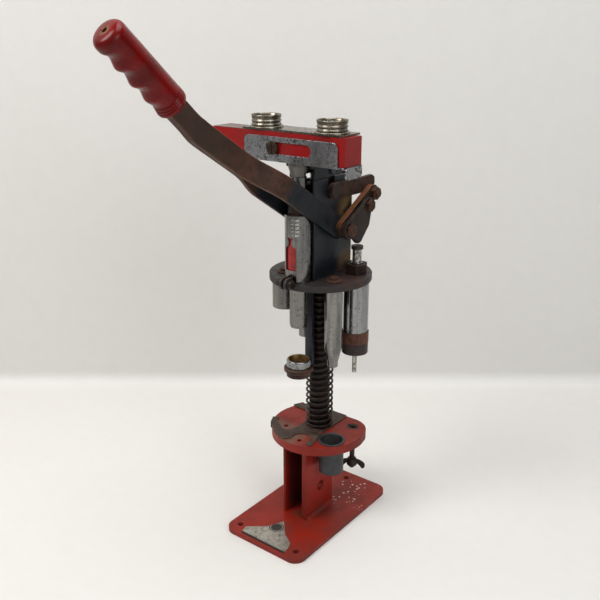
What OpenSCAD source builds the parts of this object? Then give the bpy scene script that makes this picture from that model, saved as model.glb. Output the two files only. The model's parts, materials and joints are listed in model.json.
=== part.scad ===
// Single-stage lever press for loading shotshells: a fixed stand with a round table and
// column, a die head that slides down the column, a forked lever with a toggle link, and
// a sliding charge bar between two bottle collars on top.
// Frame: origin on the column axis at the underside of the base, +Z up, operator at -Y.

/* [Stand] */
// Width of the base plate
base_w = 99; // [95:1:110]
// Length of the base plate, front to back
base_l = 169; // [166:1:180]
// Thickness of the base plate
base_t = 5; // [4:0.5:6]
// Radius of the base plate's corners
base_corner_r = 12; // [6:1:14]
// Distance from the column axis to the base's front edge
base_front = 102.5; // [100:0.5:106]
// Radius of the three bench screw holes
bench_hole_r = 3.1; // [2.5:0.1:3.5]
// Height of the table's top face above the bench
table_z = 99.5; // [97:0.5:101]
// Thickness of the round table
table_t = 9.5; // [8:0.5:10]
// Radius of the round table
table_r = 51.5; // [50:0.5:54]

/* [Column and spring] */
// Radius of the column
column_r = 11; // [10.5:0.1:11]
// Radius of the wire of the return spring
spring_wire_r = 1.15; // [1:0.05:1.2]
// Mean radius of the return spring
spring_r = 13.6; // [13:0.1:13.8]
// Number of turns in the return spring
spring_turns = 24.5; // [20.5:1:26.5]

/* [Die head] */
// Height of the die plate's top face when the lever is up
plate_z = 274; // [273:0.5:275]
// Thickness of the die plate
plate_t = 6.3; // [6:0.1:7]
// Radius of the die plate
plate_r = 52; // [51:0.5:54]
// Distance of every station from the column axis
station_r = 36.5; // [36.3:0.1:37]
// Half width of the head channel
channel_half_w = 15; // [15:0.1:15.2]
// Height of the head channel's top edge
channel_top = 372; // [370:0.5:372.5]

/* [Dies] */
// Outer radius of the sizing die
sizing_r = 13; // [12.6:0.1:13.2]
// Height of the sizing die's lower end
sizing_end = 206; // [204:0.5:208]
// Height of the lower end of the collar on the sizing die
collar_end = 188; // [187:0.5:190]
// Height of the tip of the primer punch
punch_tip = 164.5; // [163:0.5:166]
// Height of the crimp starter's lower end
starter_end = 237.7; // [236:0.1:240]
// Height of the tapered die's lower end
tapered_end = 184.4; // [183:0.1:186]
// Height of the final crimp die's lower end
final_end = 191; // [189:0.5:193]
// Height of the wad ram's lower end
ram_end = 225.4; // [224:0.1:227]
// Height of the wad guide's lower end
guide_end = 172; // [172:0.5:174]
// Outer radius of the wad tube
wad_tube_r = 13.2; // [13.1:0.1:13.3]

/* [Lever and toggle] */
// Y of the link's pin through the column
pin_a_y = -4; // [-4.5:0.1:-3.5]
// Z of the link's pin through the column
pin_a_z = 359.5; // [359:0.1:360]
// Y of the link's far end, where the crank pulls on it
pin_b_y = 55; // [54.5:0.1:55.5]
// Z of the link's far end
pin_b_z = 348.5; // [348:0.1:349]
// Y of the lever's pivot on the head channel
pin_c_y = 6; // [5.5:0.1:6.5]
// Z of the lever's pivot on the head channel
pin_c_z = 320; // [319.5:0.1:320.5]
// Slope of the forked arm, downwards to the pivot
arm_slope = 32.4; // [31.5:0.1:33]
// Length of the arm from its pivot to the bend
arm_l = 204.5; // [200:0.5:208]
// Slope of the handle beyond the bend
handle_slope = 42.4; // [40:0.1:45]
// Width of the arm
arm_w = 21; // [18:0.5:22]

/* [Charge assembly] */
// Height of the underside of the charge bar
bar_z = 391; // [391:0.1:391.3]
// Length of the charge bar
bar_l = 157; // [150:1:160]
// Depth of the charge bar, front to back
bar_d = 25.2; // [25:0.1:25.3]
// Height of the charge bar
bar_h = 25.5; // [25:0.1:25.6]
// Sideways travel of the charge bar
bar_travel = 38.2; // [38:0.1:38.4]

/* [Hidden] */
$fn = 64;
pin_a = [pin_a_y, pin_a_z];
pin_b = [pin_b_y, pin_b_z];
pin_c = [pin_c_y, pin_c_z];
cam_bolt = [39, 339.2]; // second bolt of the knock-out cam
arm_bend = pin_c + arm_l * [-cos(arm_slope), sin(arm_slope)];
slip = 0.05;            // radial clearance of a running fit
seat_gap = 0.02;        // gap under a screwed-down face
base_cy = base_l / 2 - base_front;
front_hole_x = 37.6;
front_hole_y = -89.4;
rear_hole_y = 54.6;
pedestal_left = -17.9;
pedestal_right = 13.8;
pedestal_front = -41.5;
pedestal_rear = 6.6;
table_rear = 33.5;      // straight rear edge of the table
guide_holes = [[-26.4, -24.5], [4.3, -41]];
table_bottom = table_z - table_t;
sheet_t = 1.2;          // locating plate's sheet
plate_bottom = plate_z - plate_t;
wall = 2.5;             // sheet of the head channel and top bracket
channel_front = -31;
channel_rear = 33;
sizing_a = 30;          // station angles about the column, from +X
tapered_a = -33;
wad_a = -90;
starter_a = -138;
final_a = 152;
fork_half = 15.5;       // inner face of the fork's straps
strap_t = 4;
link_in = 15.3;         // inner face of the links
link_t = 4;
crank_in = 19.5;        // inner face of the crank arms, flat against the straps
crank_t = 6;
cam_in = 28;            // inner face of the knock-out cam
cam_t = 3.5;
stud_r = 4.5;
pin_a_r = 5;
charge_y = -station_r;  // the charge bar runs straight above the wad station
bar_rest_x = -19.1 + 2; // middle of the bar at rest
cradle_t = 1.6;
cradle_x = 54;          // half length of the cradle's walls
cradle_y = bar_d / 2 + 0.3;
cradle_z = bar_z - cradle_t;
deck_z = cradle_z - 0.2;            // top face of the bracket that carries the cradle
bracket_t = 5.5;                    // thickness of that bracket's top
column_top = deck_z - bracket_t - seat_gap;
bottle_z = bar_z + bar_h + 0.4;     // underside of the bottle plate
bottle_t = 1.8;
bottle_flange_y = charge_y + cradle_y + cradle_t + 0.1;
collar_x = bar_travel;
collar_bore = 12.4;
stop_z = bar_z + 11;    // height of the screw that limits the bar's travel
funnel_z = 366;         // lower end of the funnel, inside the drop tube
drop_r = 7.9;           // outside of the drop tube
drop_inner_r = 7;
drop_end = 250;         // lower end of the drop tube
drop_top = 375.6;
ram_r = 9;              // outside of the wad ram
seat_z = plate_z - 3;   // shoulder that the wad tube stands on
wad_tube_top = 340;
wad_bore = 12;          // inside of the wad tube
sleeve_z = 275;         // lower end of the sleeve in the wad tube
sleeve_h = 46.5;
window_z = 286.5;       // lower edge of the window in the front of the wad tube
window_neck_z = 314.1;  // narrowest place of the window
cup_z = 64.3;            // lower end of the cup tube
cup_r = 13;             // bore for the cup tube in the table
bush_r = 6.4;           // bore for the seat bush in the table
nut_z = 57;             // underside of the wing nut
seat_stud_r = 2.75;
axle_gap = 20;          // half length of the cuts made for the crossing pins
die_thread_r = 6;       // threaded neck of the sizing die
die_bore = 10.6;        // bore of the sizing die
rod_r = 4.7;            // guided part of the punch rod
head_z = 298.9;         // underside of the punch rod's head
clamp_y = -56.5;        // clamp across the slit in the die plate
clamp_z = plate_z + 1;
slit_w = 2.6;
hanger_y = -20;         // front face of the wad guide's hanger
hanger_w = 9;
hanger_t = 4;
guide_bore = 9.6;
guide_flat = 14;        // flat on the wad guide's band, where the hanger's foot meets it
guide_band_z = 6;       // lower edge of that band
guide_collar_h = 10;
split = 142;            // where the two straps of the lever meet
parallel = 98;          // end of the parallel part of the fork
grip_start = 32.5;      // from the bend to the grip
grip_r = 13.4;
tang_l = 104;           // from the bend to the straps' far end
tang_w = 14;            // width of the straps inside the grip

// ---- helpers ----------------------------------------------------------------

module at_station(angle, z = 0) {
    rotate([0, 0, angle]) translate([station_r, 0, z]) rotate([0, 0, -angle]) children();
}

module tube(r_out, r_in, h) {
    difference() {
        cylinder(r = r_out, h = h);
        translate([0, 0, -1]) cylinder(r = r_in, h = h + 2);
    }
}

// Extrudes a (Y, Z) outline along X, starting at x0
module across(x0, t) {
    translate([x0, 0, 0]) rotate([90, 0, 90]) linear_extrude(t) children();
}

// A round bore or pin along X through the point p = [y, z]
module cross_pin(p, r, x0, t) {
    translate([x0, p[0], p[1]]) rotate([0, 90, 0]) cylinder(r = r, h = t);
}

// A straight bar from pivot a to pivot b, with round ends of radius ra and rb.
// The bar is a hair narrower than its ends, so that its corners lie inside them.
module bar(a, b, ra, rb, x0, t) {
    d = b - a;
    n = [-d[1], d[0]] / norm(d) * 0.985;
    cross_pin(a, ra, x0, t);
    cross_pin(b, rb, x0, t);
    across(x0, t) polygon([a + n * ra, b + n * rb, b - n * rb, a - n * ra]);
}

// Copies a part to the other side of the middle plane
module both_sides() {
    children();
    mirror([1, 0, 0]) children();
}

module rounded_rect(w, h, r) {
    square([w - 2 * r, h], center = true);
    square([w, h - 2 * r], center = true);
    for (sx = [-1, 1], sy = [-1, 1])
        translate([sx * (w / 2 - r), sy * (h / 2 - r)]) circle(r);
}

module slot_2d(l, r) {
    square([l - 2 * r, 2 * r], center = true);
    for (s = [-1, 1]) translate([s * (l / 2 - r), 0]) circle(r);
}

module hex_nut(af, h, bore_r) {
    difference() {
        cylinder(d = af / cos(30), h = h, $fn = 6);
        translate([0, 0, -1]) cylinder(r = bore_r, h = h + 2);
    }
}

// Closed coil: turns of wire between z = 0 and z = h, wound as one skin
module coil(r, wire, h, turns, per_turn = 10, sides = 5) {
    n = ceil(turns * per_turn);
    rise = (h - 2 * wire) / n;
    pts = [for (i = [0:n], j = [0:sides - 1])
        let (t = 360 * i / per_turn, f = 360 * j / sides)
        [(r + wire * cos(f)) * cos(t), (r + wire * cos(f)) * sin(t), wire + rise * i + wire * sin(f)]];
    skin = [for (i = [0:n - 1], j = [0:sides - 1])
        let (k = (j + 1) % sides)
        [i * sides + j, (i + 1) * sides + j, (i + 1) * sides + k, i * sides + k]];
    ends = [[for (j = [0:sides - 1]) j], [for (j = [0:sides - 1]) n * sides + sides - 1 - j]];
    polyhedron(pts, concat(skin, ends), convexity = 10);
}

// ---- fixed stand ------------------------------------------------------------

module base_plate() {
    color("firebrick") difference() {
        translate([0, base_cy, 0]) linear_extrude(base_t) rounded_rect(base_w, base_l, base_corner_r);
        for (p = [[-front_hole_x, front_hole_y], [front_hole_x, front_hole_y], [0, rear_hole_y]])
            translate([p[0], p[1], -1]) cylinder(r = bench_hole_r, h = base_t + 2);
    }
}

// Folded box, open at the front and below the table
module pedestal() {
    left_wall = 3.5;
    right_wall = 6.2;
    rear_web = 4.6;
    width = pedestal_right - pedestal_left;
    depth = pedestal_rear - pedestal_front;
    color("firebrick") difference() {
        translate([pedestal_left, pedestal_front, base_t]) cube([width, depth, table_bottom - base_t]);
        translate([pedestal_left + left_wall, pedestal_front - 1, base_t - 1])
            cube([width - left_wall - right_wall, depth - rear_web + 1, table_bottom]);
        cross_pin([-15.5, 36], 5.5, 0, pedestal_right + 1);
    }
}

module station_table() {
    through = table_t + 2;
    color("firebrick") difference() {
        translate([0, 0, table_bottom]) cylinder(r = table_r, h = table_t, $fn = 128);
        translate([0, 0, table_bottom - 1]) cylinder(r = column_r, h = through);
        at_station(tapered_a, table_bottom - 1) cylinder(r = cup_r, h = through);
        at_station(sizing_a, table_bottom - 1) cylinder(r = bush_r, h = through);
        for (p = guide_holes) translate([p[0], p[1], table_z - 3]) cylinder(r = 2.6, h = 4);
        translate([-table_r, table_rear, table_bottom - 1]) cube([2 * table_r, table_r, through]);
    }
}

module label_plate() {
    color("silver") translate([0, 0, base_t]) linear_extrude(0.4)
        polygon([[-27.5, -100], [-30.2, -89.6], [-12.2, -74.7], [-3.8, -57.5], [11.3, -74],
                 [24.7, -82.5], [27.3, -87.6], [30.2, -99.6]]);
}

// Sheet on the table that steers the shells to their stations; its tabs hook over the rim
module locating_plate() {
    tab_a = 153;
    tab_w = 12;
    tab_h = 6.5;
    tab_start = 46;
    tab_x = table_r + 0.1;
    rear = table_rear - 0.1;
    color("dimgray") translate([0, 0, table_z]) difference() {
        union() {
            linear_extrude(sheet_t) difference() {
                polygon([[14.5, -17], [14.5, 30], [13, rear], [-30, rear], [-41, 28], [-44, 16], [-30, 16],
                         [-16, 10], [-15, -8], [-14, -19], [-15, -25], [-17, -30], [-20, -33], [-25, -33],
                         [-32, -28], [-38, -24], [-42, -22], [-44, -25], [-40, -32], [-28, -43],
                         [-20, -47], [-12, -50], [-8, -48], [-7, -44], [12, -41], [15, -43.5], [20, -44.7],
                         [22, -43], [21.3, -39.5]]);
                translate([4, -37.5]) circle(10.3);
            }
            for (a = [-tab_a, tab_a]) rotate(a) {
                translate([tab_start, -tab_w / 2, 0]) cube([tab_x + sheet_t - tab_start, tab_w, sheet_t]);
                translate([tab_x, -tab_w / 2, -tab_h]) cube([sheet_t, tab_w, tab_h + sheet_t]);
            }
        }
        translate([0, 0, -1]) cylinder(r = column_r + 0.1, h = sheet_t + 2);
    }
}

module cup_tube() {
    h = table_z - cup_z;
    color("dimgray") at_station(tapered_a, cup_z) difference() {
        union() {
            cylinder(r = cup_r - slip, h = h);
            translate([0, 0, h]) cylinder(r = cup_r + 1.4, h = 1);
        }
        translate([0, 0, -1]) cylinder(r = cup_r - 1.4, h = h + 3);
    }
}

// Bush under the sizing die, with a hole for the punch and a slot for a screwdriver
module seat_bush() {
    neck_z = 83;
    floor_z = 86;
    stud_end = 50;
    top_z = table_z - 0.3;
    color("sienna") at_station(sizing_a) difference() {
        union() {
            translate([0, 0, neck_z]) cylinder(r = bush_r - slip, h = top_z - neck_z);
            translate([0, 0, stud_end]) cylinder(r = seat_stud_r, h = neck_z - stud_end + 1);
        }
        translate([0, 0, floor_z]) cylinder(r = 2.9, h = 20);
        translate([-8, -0.8, top_z - 1.4]) cube([16, 1.6, 3]);
    }
}

module wing_nut() {
    wing_t = 2.8;
    color("sienna") at_station(sizing_a, nut_z) difference() {
        union() {
            cylinder(r = 5.6, h = 9);
            rotate([0, 0, -62]) for (s = [-1, 1])
                bar([s * 4, 5], [s * 13, -3], 3.6, 4.2, -wing_t / 2, wing_t);
        }
        translate([0, 0, -1]) cylinder(r = seat_stud_r + slip, h = 12);
    }
}

module column() {
    color([0.13, 0.13, 0.14]) difference() {
        translate([0, 0, table_bottom]) cylinder(r = column_r - slip, h = column_top - table_bottom);
        translate([0, 0, column_top - 20]) cylinder(r = 3.1, h = 30);
        cross_pin(pin_a, pin_a_r, -axle_gap, 2 * axle_gap);
    }
}

module main_spring() {
    z0 = table_z + sheet_t;
    color([0.16, 0.15, 0.15]) translate([0, 0, z0])
        coil(spring_r, spring_wire_r, plate_bottom - 2 - z0 - 0.1, spring_turns);
}

// ---- charge assembly, fixed on the column -----------------------------------

module top_bracket() {
    wall_z = channel_top + 0.6;
    front = -36;
    rear = 14;
    color([0.11, 0.12, 0.14]) difference() {
        union() {
            translate([-channel_half_w, front, deck_z - bracket_t])
                cube([2 * channel_half_w, rear - front, bracket_t]);
            both_sides() translate([channel_half_w - wall, channel_front, wall_z])
                cube([wall, rear - channel_front, deck_z - wall_z]);
        }
        translate([0, charge_y, deck_z - bracket_t - 1]) cylinder(r = 9.7, h = bracket_t + 2);
        translate([0, 0, deck_z - bracket_t - 1]) cylinder(r = 3.2, h = bracket_t + 2);
    }
}

module bracket_screws() {
    end_z = 368;
    color([0.2, 0.19, 0.18]) {
        translate([0, 0, end_z]) cylinder(r = 3, h = deck_z - end_z);
        translate([0, 0, deck_z]) cylinder(r = 5, h = 3.6);
        both_sides() cross_pin([-3, 378], 3.4, channel_half_w, 2);
    }
}

// Open tray of sheet metal with a slotted front wall and a tongue bent down at the right
module charge_cradle() {
    wall_h = 22.8;
    tongue_x = cradle_x + 7;
    color("silver") difference() {
        union() {
            translate([-cradle_x, charge_y - cradle_y - cradle_t, cradle_z])
                cube([cradle_x + tongue_x, 2 * (cradle_y + cradle_t), cradle_t]);
            for (s = [-1, 1]) translate([0, charge_y + s * (cradle_y + cradle_t / 2), 0])
                rotate([90, 0, 0]) translate([0, 0, -cradle_t / 2]) linear_extrude(cradle_t) {
                    translate([0, cradle_z + wall_h / 2]) rounded_rect(2 * cradle_x, wall_h, 6);
                    translate([-cradle_x + 6, cradle_z]) square([2 * cradle_x - 6, 8]);
                }
            translate([tongue_x, charge_y, cradle_z - 4]) rotate([90, 0, 90]) linear_extrude(cradle_t)
                rounded_rect(bar_d, 11, 4);
        }
        translate([0, charge_y - 5, stop_z]) rotate([90, 0, 0]) linear_extrude(30) slot_2d(50, 5.5);
        translate([0, charge_y, cradle_z - 1]) cylinder(r = 8, h = 4);
    }
}

module charge_bar() {
    color("crimson") difference() {
        translate([bar_rest_x - bar_l / 2, charge_y - bar_d / 2, bar_z + 0.1]) cube([bar_l, bar_d, bar_h]);
        for (x = [-collar_x, 0]) translate([x, charge_y, bar_z - 1]) cylinder(r = 8.5, h = bar_h + 2);
        translate([-collar_x / 2, charge_y - bar_d / 2 - 1, stop_z]) rotate([-90, 0, 0])
            cylinder(r = 2.5, h = 8);
    }
}

// Metering sleeves: the left one holds powder, the middle one shot
module charge_bushings() {
    color("goldenrod") for (place = [[-collar_x, 6.5], [0, 4.5]])
        translate([place[0], charge_y, bar_z + 0.1]) tube(8.5, place[1], bar_h - 0.1);
}

// Its shoulder runs in the slot of the cradle's front wall, its head stands just outside
module bar_stop_screw() {
    head_t = 1.8;
    head_z = bar_d / 2 - cradle_y - cradle_t - 0.1 - head_t;
    slot_w = 1.2;
    color("saddlebrown") translate([-collar_x / 2, charge_y - bar_d / 2, stop_z]) rotate([-90, 0, 0])
        difference() {
            union() {
                translate([0, 0, head_z]) cylinder(r = 6.2, h = head_t);
                translate([0, 0, head_z + 1]) cylinder(r = 5.2, h = -head_z - 1);
                translate([0, 0, -1]) cylinder(r = 2.5, h = 8);
            }
            translate([-slot_w / 2, -7, head_z - 0.4]) cube([slot_w, 14, 1.3]);
        }
}

module bottle_plate() {
    flange_t = 1.6;
    front = charge_y - bar_d / 2;
    color("darkgray") difference() {
        union() {
            translate([-57, front, bottle_z]) cube([114, bottle_flange_y - front + flange_t, bottle_t]);
            translate([-50, bottle_flange_y, bottle_z - 20]) cube([100, flange_t, 21]);
        }
        both_sides() translate([collar_x, charge_y, bottle_z - 1]) cylinder(r = 10, h = 4);
    }
}

// Threaded sockets for the two bottles, with rolled beads
module bottle_collars() {
    bead_r = 0.45;
    foot_r = 16.3;
    neck_r = 13.6;
    rim_r = 14.5;
    color("silver") both_sides() translate([collar_x, charge_y, bottle_z + bottle_t])
        rotate_extrude() polygon(concat(
            [[collar_bore, 0], [foot_r, 0], [foot_r, 1.4], [neck_r, 1.4]],
            [for (i = [0:16]) [neck_r + 0.3 + bead_r * sin(i * 90 - 90), 2 + i * 0.42]],
            [[neck_r, 9.4], [rim_r, 10.4], [rim_r, 11.6], [collar_bore, 11.6]]));
}

module plate_rivets() {
    color("silver") for (x = [-40, 40]) translate([x, bottle_flange_y + 1.6, bar_z + 9])
        rotate([-90, 0, 0]) cylinder(r = 3, h = 1.6);
}

module funnel() {
    neck = 5.4;
    rim_r = 9.5;
    socket_r = drop_inner_r - seat_gap;
    rim_z = cradle_z - 0.1;
    bore = 4.2;
    color("darkgray") translate([0, charge_y, 0]) rotate_extrude() polygon([
        [bore, funnel_z], [socket_r, funnel_z], [socket_r, funnel_z + 5], [neck, funnel_z + 5],
        [neck, funnel_z + 6], [rim_r, funnel_z + 18], [rim_r, rim_z], [8, rim_z], [bore, funnel_z + 12]]);
}

module drop_tube() {
    color("silver") translate([0, charge_y, drop_end]) tube(drop_r, drop_inner_r, drop_top - drop_end);
}

// ---- sliding head -----------------------------------------------------------

module die_plate() {
    ear_t = 3;
    color([0.2, 0.16, 0.14]) difference() {
        union() {
            translate([0, 0, plate_bottom]) cylinder(r = plate_r, h = plate_t, $fn = 128);
            for (x0 = [slit_w / 2, -slit_w / 2 - ear_t]) {
                cross_pin([clamp_y, clamp_z], 6, x0, ear_t);
                across(x0, ear_t) translate([clamp_y, clamp_z - 5.9]) square([6, 11.8]);
            }
        }
        translate([0, 0, plate_bottom - 1]) cylinder(r = 12.3, h = plate_t + 2);
        at_station(sizing_a, plate_bottom - 1) cylinder(r = die_thread_r, h = plate_t + 2);
        at_station(wad_a, seat_z) cylinder(r = wad_tube_r, h = 12);
        at_station(wad_a, plate_bottom - 1) cylinder(r = ram_r + slip, h = plate_t + 2);
        for (a = [tapered_a, starter_a, final_a])
            at_station(a, plate_bottom - 1) cylinder(r = 2.5, h = plate_t + 2);
        translate([-slit_w / 2, -70, plate_bottom - 4]) cube([slit_w, 70 - station_r, plate_t + 14]);
        cross_pin([clamp_y, clamp_z], 2.3, -axle_gap, 2 * axle_gap);
        hanger_slot();
    }
}

// Slot for the wad guide's hanger, just in front of the column
module hanger_slot() {
    translate([-hanger_w / 2 - 0.5, hanger_y - 0.3, plate_bottom - 3])
        cube([hanger_w + 1, hanger_t + 0.6, plate_t + 6]);
}

module guide_bush() {
    flange_t = 2;
    color([0.25, 0.24, 0.23]) difference() {
        union() {
            translate([0, 0, plate_bottom]) cylinder(r = 12.3, h = 32);
            translate([0, 0, plate_bottom - flange_t]) cylinder(r = 14.4, h = flange_t);
        }
        translate([0, 0, plate_bottom - 3]) cylinder(r = column_r, h = 40);
    }
}

// Folded sheet, open at the front, that carries the lever's pivots
module head_channel() {
    inner = channel_half_w - wall;
    depth = channel_rear - channel_front;
    h = channel_top - plate_z;
    notch_r = pin_a_r + 0.4;
    color([0.11, 0.12, 0.14]) difference() {
        translate([-channel_half_w, channel_front, plate_z]) cube([2 * channel_half_w, depth, h]);
        translate([-inner, channel_front - 1, plate_z - 1]) cube([2 * inner, depth - wall + 1, h + 2]);
        cross_pin(pin_a, notch_r, -axle_gap, 2 * axle_gap);
        translate([-axle_gap, pin_a_y - notch_r, pin_a_z]) cube([2 * axle_gap, 2 * notch_r, 20]);
        cross_pin(pin_c, stud_r, -axle_gap, 2 * axle_gap);
    }
}

module sizing_die() {
    color("silver") at_station(sizing_a) difference() {
        union() {
            translate([0, 0, sizing_end]) cylinder(r = sizing_r, h = plate_bottom - sizing_end);
            translate([0, 0, plate_bottom]) cylinder(r = die_thread_r, h = 17.5);
        }
        translate([0, 0, sizing_end - 1]) cylinder(r = die_bore, h = 56);
        translate([0, 0, sizing_end - 1]) cylinder(r = rod_r, h = 100);
    }
}

module sizing_collar() {
    band_h = 12;
    color([0.35, 0.2, 0.13]) at_station(sizing_a, collar_end) difference() {
        union() {
            cylinder(r = sizing_r + 0.6, h = band_h);
            translate([0, 0, band_h]) cylinder(r = sizing_r + 1, h = band_h);
        }
        translate([0, 0, -1]) cylinder(r = die_bore, h = 30);
        translate([0, 0, sizing_end - collar_end]) cylinder(r = sizing_r, h = 10);
    }
}

module sizing_nut() {
    color("sienna") at_station(sizing_a, plate_z + seat_gap) hex_nut(20, 10, die_thread_r);
}

module decap_rod() {
    shank_z = 262;
    punch_z = 186;
    color("silver") at_station(sizing_a) {
        translate([0, 0, shank_z]) cylinder(r = rod_r - slip, h = head_z - shank_z + 1);
        translate([0, 0, head_z]) cylinder(r = 6, h = 3.3);
        translate([0, 0, punch_z]) cylinder(r = 4.4, h = shank_z - punch_z + 1);
        translate([0, 0, punch_tip]) cylinder(r = 2.4, h = punch_z - punch_tip + 1);
    }
}

module starter_die() {
    h = plate_bottom - seat_gap - starter_end;
    color("silver") at_station(starter_a, starter_end) difference() {
        cylinder(r = 12.5, h = h);
        translate([0, 0, -1]) cylinder(r = 10, h = 20);
        translate([0, 0, -1]) cylinder(r = 2.5, h = h + 2);
    }
}

module tapered_die() {
    tip_r = 5.4;
    body_r = 9;
    top_z = plate_bottom - seat_gap;
    color("silver") at_station(tapered_a) difference() {
        rotate_extrude() polygon([[0, tapered_end], [tip_r, tapered_end], [tip_r, tapered_end + 4.6],
            [body_r, tapered_end + 21], [body_r, top_z], [0, top_z]]);
        translate([0, 0, tapered_end - 1]) cylinder(r = 3.6, h = 36);
        translate([0, 0, plate_bottom - 28]) cylinder(r = 2.5, h = 40);
    }
}

module final_die() {
    color("silver") at_station(final_a) difference() {
        translate([0, 0, final_end]) cylinder(r = 7.25, h = plate_bottom - seat_gap - final_end);
        translate([0, 0, final_end - 1]) cylinder(r = 5, h = 14);
        translate([0, 0, plate_bottom - 28]) cylinder(r = 2.5, h = 40);
    }
}

// Screws with washers that hold three of the dies to the plate
module die_screws() {
    washer_t = 1.6;
    color("saddlebrown") for (a = [tapered_a, starter_a, final_a]) at_station(a) {
        translate([0, 0, 256]) cylinder(r = 2.5, h = plate_z - 255);
        translate([0, 0, plate_z]) cylinder(r = 7.4, h = washer_t);
        translate([0, 0, plate_z + washer_t]) cylinder(r = 4.4, h = 3);
    }
}

// Window with a waist near its top: a rectangle between two round tongues of the wall
module window_2d() {
    half_w = 6;
    tongue_r = 5.4;
    waist = 1.6;
    difference() {
        translate([-half_w, window_z]) square([2 * half_w, window_neck_z + 4.4 - window_z]);
        for (s = [-1, 1]) translate([s * (waist + tongue_r), window_neck_z]) circle(tongue_r);
    }
}

module wad_tube() {
    color("silver") at_station(wad_a) difference() {
        translate([0, 0, seat_z]) tube(wad_tube_r, wad_bore, wad_tube_top - seat_z);
        rotate([90, 0, 0]) linear_extrude(20) window_2d();
    }
}

module wad_tube_cap() {
    plug_h = 6;
    color("saddlebrown") at_station(wad_a, wad_tube_top - plug_h) difference() {
        union() {
            cylinder(r = wad_bore, h = plug_h);
            translate([0, 0, plug_h]) cylinder(r = 10.2, h = 11);
        }
        translate([0, 0, -4]) cylinder(r = drop_r + slip, h = 30);
    }
}

module wad_sleeve() {
    color("red") at_station(wad_a, sleeve_z) difference() {
        cylinder(r = wad_bore - 0.4, h = sleeve_h);
        translate([0, 0, -5]) cylinder(r = ram_r, h = sleeve_h + 5);
        translate([0, 0, sleeve_h - 12]) cylinder(r = drop_r + 0.1, h = 30);
    }
}

module wad_spring() {
    z0 = sleeve_z + sleeve_h + 0.1;
    color("gray") at_station(wad_a, z0) coil(10.5, 0.95, wad_tube_top - 6.2 - z0, 3.5, 16, 6);
}

module wad_ram() {
    length = sleeve_z + sleeve_h - 0.6 - ram_end;
    nose = 4;
    color("silver") at_station(wad_a, ram_end) difference() {
        union() {
            cylinder(r1 = ram_r - 0.8, r2 = ram_r, h = nose);
            translate([0, 0, nose]) cylinder(r = ram_r, h = length - nose);
        }
        translate([0, 0, -5]) cylinder(r = drop_r + 0.1, h = length + 10);
    }
}

module clamp_bolt() {
    color([0.22, 0.17, 0.14]) translate([4.4, clamp_y, clamp_z]) rotate([0, 90, 0]) {
        cylinder(r = 4.3, h = 4.2);
        translate([0, 0, -15]) cylinder(r = 2.2, h = 15.1);
    }
}

module clamp_nut() {
    color([0.22, 0.17, 0.14]) translate([-8.5, clamp_y, clamp_z]) rotate([0, 90, 0]) hex_nut(8, 4, 2.25);
}

// Flat strip that hangs through the plate and carries the wad guide; its shoulder stops it
module guide_hanger() {
    foot_y = charge_y + guide_flat;
    foot_z = guide_end + guide_band_z;
    color([0.12, 0.12, 0.12]) {
        translate([-hanger_w / 2, hanger_y, foot_z]) cube([hanger_w, hanger_t, 114]);
        translate([-hanger_w / 2 - 2, hanger_y, plate_z + 1]) cube([hanger_w + 4, hanger_t, 3]);
        translate([-hanger_w / 2, foot_y, foot_z]) cube([hanger_w, hanger_y - foot_y + 0.1, 3]);
    }
}

module guide_collar() {
    lower_r = 12.2;
    band_r = 14.8;
    color([0.35, 0.2, 0.13]) at_station(wad_a, guide_end) difference() {
        rotate_extrude() polygon([[guide_bore, 0], [lower_r, 0], [lower_r, 4.5], [band_r, guide_band_z],
            [band_r, 9], [band_r - 1, guide_collar_h], [guide_bore, guide_collar_h]]);
        translate([-hanger_w / 2 - 0.1, guide_flat, 5]) cube([hanger_w + 0.2, 4, guide_collar_h]);
    }
}

module guide_ring() {
    ring_r = 12.2;
    h = 8;
    color("silver") at_station(wad_a, guide_end + guide_collar_h) rotate_extrude()
        polygon([[guide_bore, 0], [ring_r - 0.4, 0], [ring_r, 0.8], [ring_r, h - 1], [ring_r - 0.6, h],
                 [ring_r - 1.6, h], [guide_bore, h - 1.5]]);
}

// ---- toggle link ------------------------------------------------------------

module link_pin() {
    head_t = 1.8;
    head_x = link_in + link_t + 0.2;
    color([0.2, 0.14, 0.11]) {
        cross_pin(pin_a, pin_a_r, -head_x - 1, 2 * head_x + 2);
        both_sides() cross_pin(pin_a, 7.4, head_x, head_t);
    }
}

// One link plate, between x0 and x0 + link_t
module link_plate(x0) {
    color([0.28, 0.18, 0.14]) difference() {
        union() {
            bar(pin_a - [0, 0.8], pin_b + [-8, 9], 8, 8, x0, link_t);
            cross_pin(pin_b, 8.5, x0, link_t);
            across(x0, link_t) translate(pin_b) polygon([[-14, 3], [-14, 16.9], [6, 17.2], [10.6, 14.5],
                [11.4, 9], [8, 2], [0, -1], [-8, 2]]);
        }
        cross_pin(pin_a, pin_a_r + slip, x0 - 1, link_t + 2);
        cross_pin(pin_b, 4.5, x0 - 1, link_t + 2);
    }
}

module link_right() { link_plate(link_in); }

module link_left() { link_plate(-link_in - link_t); }

module link_bushes() {
    color([0.3, 0.2, 0.15]) both_sides() cross_pin(pin_b, 4.5, link_in, link_t + 0.1);
}

// ---- lever ------------------------------------------------------------------

// Extrudes an outline drawn as [distance from the pivot, X] over the width of the arm,
// a hair narrower than the arm's round ends
module along_arm() {
    w = arm_w * 0.985;
    translate([0, pin_c_y, pin_c_z]) rotate([-arm_slope, 0, 0]) rotate([0, 0, -90])
        translate([0, 0, -w / 2]) linear_extrude(w) children();
}

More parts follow.
